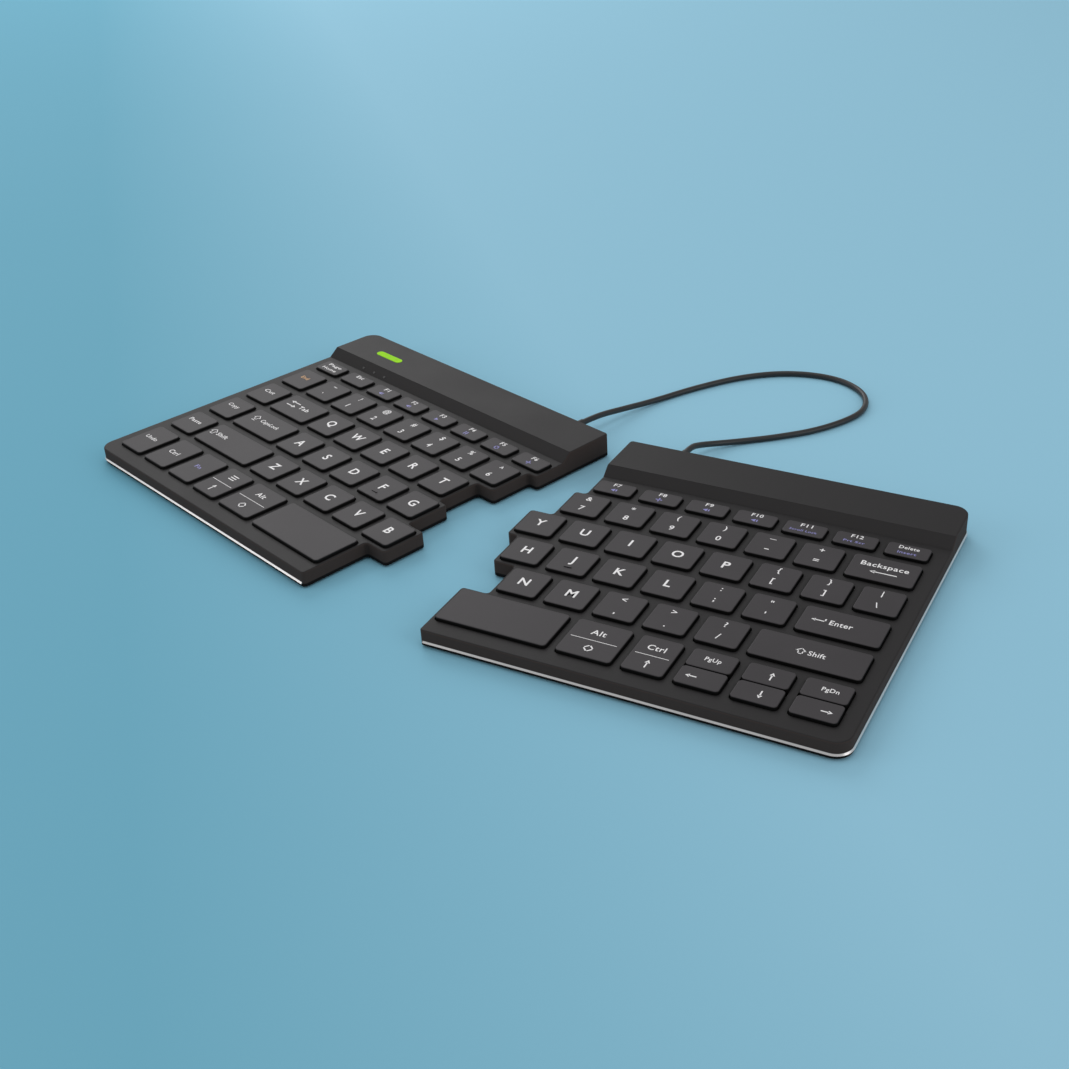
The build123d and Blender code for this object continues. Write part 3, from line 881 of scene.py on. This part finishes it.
    def letters(self, symbols: str) -> list[Key]:
        """Keys of a run of letters."""
        return [Key(f"key_{symbol.lower()}", 1.0, letter(symbol)) for symbol in symbols]

    def pairs(self, node: str, *signs: str) -> list[Key]:
        """Keys with two signs each, the shifted one first."""
        return [Key(node, 1.0, pair(*both)) for both in signs]

    def function_keys(self, node: str, width: float, first: int, signs: list[Sign]) -> list[Key]:
        """Keys of a run of function keys, counted from the first."""
        return [Key(node, width, function(f"F{first + n}", sign)) for n, sign in enumerate(signs)]

    def right_rows(self) -> list[Run]:
        """What the right half's rows hold.

        Returns:
            A run of keys for each row.
        """
        upper, side = "right_upper_keys", "right_side_keys"
        function_width = (self.right_end - self.function_split) / self.function_count
        signs = [Sign.HORN, Sign.SUN, Sign.HORN, Sign.HORN]
        functions = self.function_keys(upper, function_width, 7, signs)
        insert = Mark("Insert", 0.0, -1.6, 2.3, 7.0, Ink.LILAC)
        delete_marks = (Mark("Delete", 0.0, 1.9, 2.9, 7.6), insert)
        words = [function("F11", "Scroll Lock", 10.8), function("F12", "Prt Scr", 8.2)]
        for marks in (*words, delete_marks):
            functions.append(Key(upper, function_width, marks))
        long_arrow = Mark(Sign.LONG_LEFT, 0.4, -2.2, 1.0)
        erase_marks = (Mark("Backspace", 0.0, 1.9, 3.9, 17.6), long_arrow)
        enter_marks = (Mark(Sign.RETURN, -8.6, 0.1, 0.92), Mark("Enter", -0.5, 0.2, 3.8, 8.1))
        shift_marks = (Mark(Sign.SHIFT, -3.2, 0.2, 0.95), Mark("Shift", 2.4, 0.1, 3.5, 6.0))
        erase = Key("key_backspace", 1.5, erase_marks)
        enter = Key("key_enter", 1.75, enter_marks)
        shift = Key(side, 2.25, shift_marks)
        alt_marks = split(Mark("Alt", -0.2, 4.1, 3.9, 5.6), Sign.DIAMOND, 17.0)
        ctrl_marks = split(Mark("Ctrl", -0.2, 4.0, 3.9, 6.6), Sign.UP, 12.0)
        arrow_width = (self.right_end - self.fixed_end() / self.pitch) / 3
        rear = (self.bottom_depth + self.half_key_gap) / 4
        stacks = [
            (Mark("PgUp", 0.2, rear + 0.1, 2.9, 5.8), Mark(Sign.LEFT, -3.4, -rear - 0.1, 1.0)),
            (Mark(Sign.UP, 1.0, rear - 0.2, 1.05), Mark(Sign.DOWN, 1.0, -rear - 0.4, 1.0)),
            (Mark("PgDn", 1.0, rear + 0.1, 2.9, 5.8), Mark(Sign.RIGHT, 3.4, -rear - 0.3, 1.0)),
        ]
        bottom = [
            Key("key_space_right", self.right_space / self.pitch, ()),
            Key(side, self.right_alt / self.pitch, alt_marks),
            Key(side, self.right_ctrl / self.pitch, ctrl_marks),
            *[Key(side, arrow_width, marks) for marks in stacks],
        ]
        return [
            Run(Row.FUNCTION, self.function_split, functions),
            Run(Row.NUMBER, 7.0, self.pairs(upper, "&7", "*8", "(9", ")0", "_-", "+=") + [erase]),
            Run(Row.UPPER, 6.5, self.letters("YUIOP") + self.pairs(side, "{[", "}]", "|\\")),
            Run(Row.HOME, 6.75, self.letters("HJKL") + self.pairs(side, ":;", "\"'") + [enter]),
            Run(
                Row.LOWER,
                7.25,
                self.letters("NM") + self.pairs(side, "<,", ">.", "?/") + [shift],
            ),
            Run(Row.BOTTOM, self.bottom_split / self.pitch, bottom),
        ]

    def fixed_end(self) -> float:
        """Where the arrow keys start in the right half's bottom row."""
        return self.bottom_split + self.right_space + self.right_alt + self.right_ctrl

    def text_mesh(self, words: str, size: float, wide: float) -> Outline:
        """Flat outline mesh of a few letters.

        Args:
            words: what is printed.
            size: the type's size in millimetres.
            wide: the width that the words are set to, or 0 for the type's own.

        Returns:
            Corners about the middle of the words, and faces.
        """
        curve = bpy.data.curves.new("type", "FONT")
        curve.body = words
        curve.size = size
        curve.resolution_u = 3
        capital = len(words) == 1 and words.isupper()
        curve.offset = (self.weight if capital else self.word_weight) * size
        curve.space_character = self.letter_spacing
        holder = bpy.data.objects.new("type", curve)
        mesh = bpy.data.meshes.new_from_object(holder)
        corners = [vertex.co.copy() for vertex in mesh.vertices]
        faces = [list(polygon.vertices) for polygon in mesh.polygons]
        bpy.data.objects.remove(holder)
        bpy.data.meshes.remove(mesh)
        bpy.data.curves.remove(curve)
        low, high = (
            Vector([end(corner[axis] for corner in corners) for axis in range(3)])
            for end in (min, max)
        )
        middle = (low + high) / 2
        stretch = Vector((wide / (high.x - low.x) if wide else 1.0, 1.0, 1.0))
        return [(corner - middle) * stretch for corner in corners], faces

    def sign_mesh(self, sign: Sign, scale: float) -> Outline:
        """Flat strokes and filled triangles of a drawn sign.

        Args:
            sign: which sign.
            scale: its size against the drawing.

        Returns:
            Corners about the sign's middle, and faces.
        """
        stroke = self.stroke * self.stroke_shares.get(sign, 1.0)
        corners: list[Vector] = []
        faces: list[list[int]] = []
        for line in sign.value:
            points = [Vector((*point, 0.0)) * scale for point in line]
            first = len(corners)
            closed_triangle = len(points) == 4 and line[0] == line[3]
            if closed_triangle:
                corners += points[:3]
                faces.append([first, first + 1, first + 2])
                continue
            for a, b in zip(points, points[1:]):
                along = (b - a).normalized() * stroke / 2
                across = Vector((-along.y, along.x, 0.0))
                first = len(corners)
                start, end = a - along, b + along
                corners += [start - across, end - across, end + across, start + across]
                faces.append([first, first + 1, first + 2, first + 3])
        return corners, faces

    def print_mark(self, half: HalfFrame, node: str, x: float, y: float, mark: Mark) -> None:
        """Add one mark to its node's ink.

        Args:
            half: the plan frame of the key's half.
            node: the key's CAD node.
            x: the cap's middle along the row.
            y: the cap's middle towards the rear.
            mark: what is printed.
        """
        if isinstance(mark.content, Sign):
            corners, faces = self.sign_mesh(mark.content, mark.size)
        else:
            corners, faces = self.text_mesh(mark.content, mark.size, mark.wide)
        middle = Vector((x + mark.x, y + mark.y, self.cap_top + self.print_lift))
        placed = [half.matrix() @ (corner + middle) for corner in corners]
        self.printed.setdefault((node, mark.ink), []).append((placed, faces))

    def build(self, halves: dict[Side, HalfFrame]) -> None:
        """Print every key and make its meshes ride on the keys.

        Args:
            halves: the plan frames of both halves.
        """
        for ink in Ink:
            self.inks[ink] = Print(f"legend_{ink.name.lower()}", ink.value).material()
        rows = {Side.LEFT: self.left_rows(), Side.RIGHT: self.right_rows()}
        for side, runs in rows.items():
            for run in runs:
                x, y = run.start * self.pitch, self.row_y(run.row)
                for key in run.keys:
                    width = key.width * self.pitch
                    for mark in key.marks:
                        self.print_mark(halves[side], key.node, x + width / 2, y, mark)
                    x += width
        for (node, ink), pieces in self.printed.items():
            corners: list[Vector] = []
            faces: list[list[int]] = []
            for placed, local in pieces:
                faces += [[index + len(corners) for index in face] for face in local]
                corners += placed
            mesh = bpy.data.meshes.new(f"legend_{node}_{ink.name.lower()}")
            mesh.from_pydata(corners, [], faces)
            mesh.materials.append(self.inks[ink])
            piece = bpy.data.objects.new(mesh.name, mesh)
            bpy.context.scene.collection.objects.link(piece)
            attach(piece, node)
        log.info("legends: %d meshes", len(self.printed))


@dataclass
class LinkCord:
    """The cord between the halves: a loose loop on the desk, along the solid's own route.

    The radius and the route are millimetres, and the length is metres.
    """

    radius: float = 1.3
    length: float = 0.2667
    jacket: Rubber = Rubber("cord_jacket", (0.012, 0.012, 0.013), 0.42, 2400.0, 0.05)
    route: tuple[Place, ...] = (
        (-16.76034, 70.76143, 6.3),
        (-15.376, 79.148, 6.3),
        (-13.1, 93.3, 3.9),
        (-8.4, 112.3, 1.3),
        (0.6, 134.8, 1.3),
        (13.5, 157.3, 1.3),
        (30.2, 172.0, 1.3),
        (50.3, 177.2, 1.3),
        (66.5, 171.1, 1.3),
        (74.5, 159.7, 1.3),
        (75.8, 146.9, 1.3),
        (67.9, 126.9, 1.3),
        (56.1, 111.7, 1.3),
        (45.1, 100.3, 1.3),
        (38.1, 90.7, 2.5),
        (35.4, 83.4, 4.4),
        (34.825, 76.730, 6.3),
        (35.80256, 70.8103, 6.3),
    )

    def build(self) -> bpy.types.Object:
        """The cord as a round curve.

        Returns:
            The curve object.
        """
        curve = bpy.data.curves.new("cord_jacket", "CURVE")
        curve.dimensions = "3D"
        curve.bevel_depth = self.radius * MM
        curve.bevel_resolution = 5
        curve.resolution_u = 16
        curve.use_fill_caps = True
        spline = curve.splines.new("NURBS")
        spline.points.add(len(self.route) - 1)
        for point, place in zip(spline.points, self.route):
            point.co = (*(Vector(place) * MM), 1.0)
        spline.order_u = 3
        spline.use_endpoint_u = True
        curve.materials.append(self.jacket.material())
        piece = bpy.data.objects.new("link_cord_run", curve)
        bpy.context.scene.collection.objects.link(piece)
        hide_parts("link_cord")
        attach(piece, "left_half")
        log.info("link cord: %.3f m", self.length)
        return piece


@dataclass
class Housing:
    """Finishes of the carried-over CAD nodes, by what each is made of."""

    charcoal: Colour = (0.0455, 0.0420, 0.0455)
    case: Colour = (0.0157, 0.0147, 0.0155)
    # Colour of the case's side walls: painted light, lighter and warmer than the deck of the same
    # plastic.
    wall: Colour = (0.051, 0.0365, 0.032)
    # Side colour of the key caps and the base: painted shade.
    black: Colour = (0.003, 0.003, 0.003)
    grey: Colour = (0.05, 0.05, 0.05)
    lamp_green: Colour = (0.27, 0.62, 0.004)
    lamp_off: Colour = (0.10, 0.10, 0.10)

    def finishes(self) -> dict[str, Any]:
        """Which finish each slot of the record gets.

        Returns:
            The finishes by slot.
        """
        return {
            # Key caps: the black side walls are painted shade over the caps' own dark sides.
            "cap_plastic": Plastic(
                "cap_plastic",
                self.charcoal,
                self.black,
                grain=3200.0,
                specular=0.22,
                side_dullness=0.0,
            ),
            # Case: painted light on its side walls, painted shade in the narrow gaps between the
            # caps.
            "case_plastic": Plastic(
                "case_plastic",
                self.case,
                self.wall,
                roughness=0.55,
                grain=2400.0,
                depth=0.00006,
                specular=0.25,
                crevice=0.0017,
            ),
            # Base: darker side walls, painted shade.
            "base_plastic": Plastic(
                "base_plastic",
                (0.012, 0.012, 0.013),
                self.black,
                roughness=0.6,
                grain=1800.0,
                depth=0.00006,
                specular=0.25,
            ),
            "knob_plastic": Plastic("knob_plastic", self.grey, self.grey, roughness=0.45),
            "bright_trim": Plating("bright_trim", (0.74, 0.71, 0.70), 0.6, 0.26),
            "plate_steel": Metal("plate_steel", (0.5, 0.5, 0.52), 0.35),
            "screw_steel": Metal("screw_steel", (0.12, 0.12, 0.13), 0.35),
            "socket_steel": Metal("socket_steel", (0.62, 0.62, 0.63), 0.25),
            "dome_rubber": Rubber("dome_rubber", (0.6, 0.6, 0.58), 0.5),
            "foot_rubber": Rubber("foot_rubber", (0.03, 0.03, 0.03), 0.75),
            "relief_rubber": Rubber("relief_rubber", (0.014, 0.014, 0.014), 0.5),
            "membrane_film": Film("membrane_film", (0.7, 0.7, 0.66), (0.45, 0.46, 0.47), 90.0),
            "board_laminate": Film(
                "board_laminate",
                (0.02, 0.12, 0.05),
                (0.05, 0.22, 0.10),
                pitch=140.0,
                roughness=0.3,
            ),
            "battery_wrap": Film(
                "battery_wrap",
                (0.42, 0.45, 0.5),
                (0.5, 0.52, 0.56),
                pitch=30.0,
                roughness=0.35,
            ),
            "lens_plastic": Lens("lens_plastic", self.lamp_green, self.lamp_off, glow=0.14),
        }

    def dress(self) -> None:
        """Give every CAD node its finish."""
        slots = {part["node"]: part["material_slot"] for part in frame["record"]["subparts"]}
        made = {name: finish.material() for name, finish in self.finishes().items()}
        for node, slot_name in slots.items():
            piece = bpy.data.objects[node]
            material = made.get(slot_name)
            if material is None:
                continue
            for holder in piece.material_slots:
                holder.material = material
            if not piece.material_slots:
                piece.data.materials.append(material)
        log.info("housing: %d nodes dressed", len(slots))


@dataclass(frozen=True)
class Lamp:
    """A soft square lamp that faces the keyboard, in metres and watts."""

    name: str
    place: Place
    size: float
    power: float

    def hang(self) -> None:
        """Put the lamp in the scene."""
        data = bpy.data.lights.new(self.name, "AREA")
        data.shape = "SQUARE"
        data.size = self.size
        data.energy = self.power
        lamp = bpy.data.objects.new(self.name, data)
        lamp.location = self.place
        lamp.rotation_euler = (-Vector(self.place)).to_track_quat("-Z", "Y").to_euler()
        bpy.context.scene.collection.objects.link(lamp)


@dataclass
class Studio:
    """Floor, lamps, world and camera, in metres.

    The focal length and the frame are pixels of the photograph, and the roll is degrees.
    """

    floor_size: float = 12.0
    floor_steps: int = 8
    floor_colour: Colour = (0.324, 0.618, 0.785)
    shaded_floor: Colour = (0.178, 0.467, 0.618)
    camera_place: Place = (0.327500, -0.382338, 0.294639)
    aim: Place = (0.026711, 0.017866, 0.0)
    roll: float = 2.195
    focal_px: float = 1471.35
    frame_px: float = 1069.0
    sensor_width: float = 36.0
    shift: tuple[float, float] = (-0.055, -0.0184)
    world_strength: float = 0.45
    lamps: tuple[Lamp, ...] = (
        Lamp("top_lamp", (0.0, 0.0, 2.2), 1.6, 8.0),
        Lamp("key_lamp", (-1.5, 1.1, 1.1), 1.2, 10.5),
        Lamp("side_lamp", (1.6, 0.1, 0.7), 1.0, 5.0),
        Lamp("front_lamp", (-1.3, -1.2, 0.5), 1.2, 6.0),
    )

    def build_camera(self) -> None:
        """The camera at the photograph's place, with its slight roll."""
        data = bpy.data.cameras.new("camera")
        data.sensor_width = self.sensor_width
        data.lens = self.focal_px / self.frame_px * data.sensor_width
        data.shift_x, data.shift_y = self.shift
        data.clip_start = 0.01
        camera = bpy.data.objects.new("camera", data)
        place = Vector(self.camera_place)
        facing = (Vector(self.aim) - place).to_track_quat("-Z", "Y").to_matrix().to_4x4()
        roll = Matrix.Rotation(radians(-self.roll), 4, "Z")
        camera.matrix_world = Matrix.Translation(place) @ facing @ roll
        bpy.context.scene.collection.objects.link(camera)
        bpy.context.scene.camera = camera
        log.info("camera: %.1f mm lens", data.lens)

    def build_floor(self) -> None:
        """The desk: one wide slightly divided sheet."""
        steps = self.floor_steps
        corners = []
        for row in range(steps + 1):
            for column in range(steps + 1):
                x = (column / steps - 0.5) * self.floor_size
                y = (row / steps - 0.5) * self.floor_size
                corners.append((x, y, 0.0))
        faces = []
        for row in range(steps):
            for column in range(steps):
                first = row * (steps + 1) + column
                faces.append((first, first + 1, first + steps + 2, first + steps + 1))
        mesh = bpy.data.meshes.new("floor")
        mesh.from_pydata(corners, [], faces)
        mesh.materials.append(Desk("floor", self.floor_colour, self.shaded_floor).material())
        floor = bpy.data.objects.new("floor", mesh)
        bpy.context.scene.collection.objects.link(floor)

    def build_lights(self) -> None:
        """Hang the lamps over a dim white world."""
        for lamp in self.lamps:
            lamp.hang()
        world = bpy.data.worlds.new("room")
        world.use_nodes = True
        background = world.node_tree.nodes["Background"]
        background.inputs["Color"].default_value = (1.0, 1.0, 1.0, 1.0)
        background.inputs["Strength"].default_value = self.world_strength
        bpy.context.scene.world = world
        bpy.context.scene.view_settings.view_transform = "Standard"
        log.info("studio: floor and %d lamps", len(self.lamps))


def main() -> None:
    """Build the scene: camera and cord first, then finishes, legends, floor and lights.
    """
    studio = Studio()
    studio.build_camera()
    LinkCord().build()
    Housing().dress()
    KeyLegends().build({side: HalfFrame(side) for side in Side})
    studio.build_floor()
    studio.build_lights()


if __name__ == "__main__":
    main()
